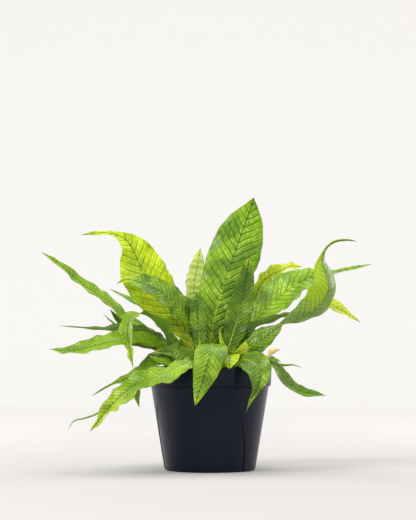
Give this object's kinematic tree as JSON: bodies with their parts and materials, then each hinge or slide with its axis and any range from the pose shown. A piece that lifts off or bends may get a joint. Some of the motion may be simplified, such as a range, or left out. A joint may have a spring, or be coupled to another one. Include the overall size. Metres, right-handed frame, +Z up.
{
  "type": "potted fern",
  "caption": "Live crocodile fern with long wavy, scale-patterned fronds, rooted in potting mix in a plain dark round nursery pot.",
  "frame": {"origin": "middle of the pot's flat base, on the surface that the pot stands on", "axes": "+Z up along the pot's axis; +X along the plant's widest spread; -Y towards the plant's front"},
  "size_m": [0.418, 0.2821, 0.344],
  "materials": {
    "plastic": "charcoal, soft sheen",
    "mix": "crumbly peat and bark potting mix",
    "rootstock": "brown papery scales",
    "frond_deep": "glossy deep green, scale-like pattern",
    "frond_fresh": "glossy bright green, scale-like pattern",
    "frond_yellow": "young yellow-green",
    "frond_pale": "grey-green, underside partly shown",
    "frond_dry": "withered tan"
  },
  "bodies": {
    "root": {"nursery_pot": "plastic", "potting_soil": "mix", "rhizome": "rootstock", "tall_frond": "frond_fresh", "tall_side_frond": "frond_deep", "centre_left_frond": "frond_deep", "pleated_young_frond": "frond_yellow", "left_arching_frond": "frond_deep", "left_broad_frond": "frond_yellow", "far_left_upper_frond": "frond_deep", "left_small_frond": "frond_fresh", "drooping_left_frond": "frond_deep", "left_level_frond": "frond_pale", "left_low_frond": "frond_deep", "withered_frond": "frond_dry", "folded_left_frond": "frond_deep", "pointed_left_frond": "frond_fresh", "front_left_frond": "frond_fresh", "behind_left_frond": "frond_deep", "tendril_frond": "frond_fresh", "hanging_left_tip_frond": "frond_deep", "left_rear_thin_frond": "frond_deep", "left_rear_small_frond": "frond_deep", "crumpled_right_frond": "frond_yellow", "right_broad_frond": "frond_fresh", "right_folded_frond": "frond_pale", "right_yellow_tip_frond": "frond_yellow", "right_dark_frond": "frond_deep", "right_grey_frond": "frond_pale", "curled_young_frond": "frond_yellow", "short_front_frond": "frond_yellow", "front_drooping_frond": "frond_fresh", "right_front_frond": "frond_deep", "right_front_tendril_frond": "frond_pale", "right_low_frond": "frond_deep", "rolled_dry_frond": "frond_dry", "right_small_frond": "frond_fresh", "rear_frond_a": "frond_deep", "rear_frond_b": "frond_fresh", "rear_frond_c": "frond_deep", "rear_frond_d": "frond_fresh", "rear_frond_e": "frond_deep", "rear_frond_f": "frond_fresh", "rear_frond_g": "frond_deep", "rear_frond_h": "frond_deep", "rear_frond_i": "frond_fresh", "rear_frond_j": "frond_yellow"}
  },
  "joints": []
}
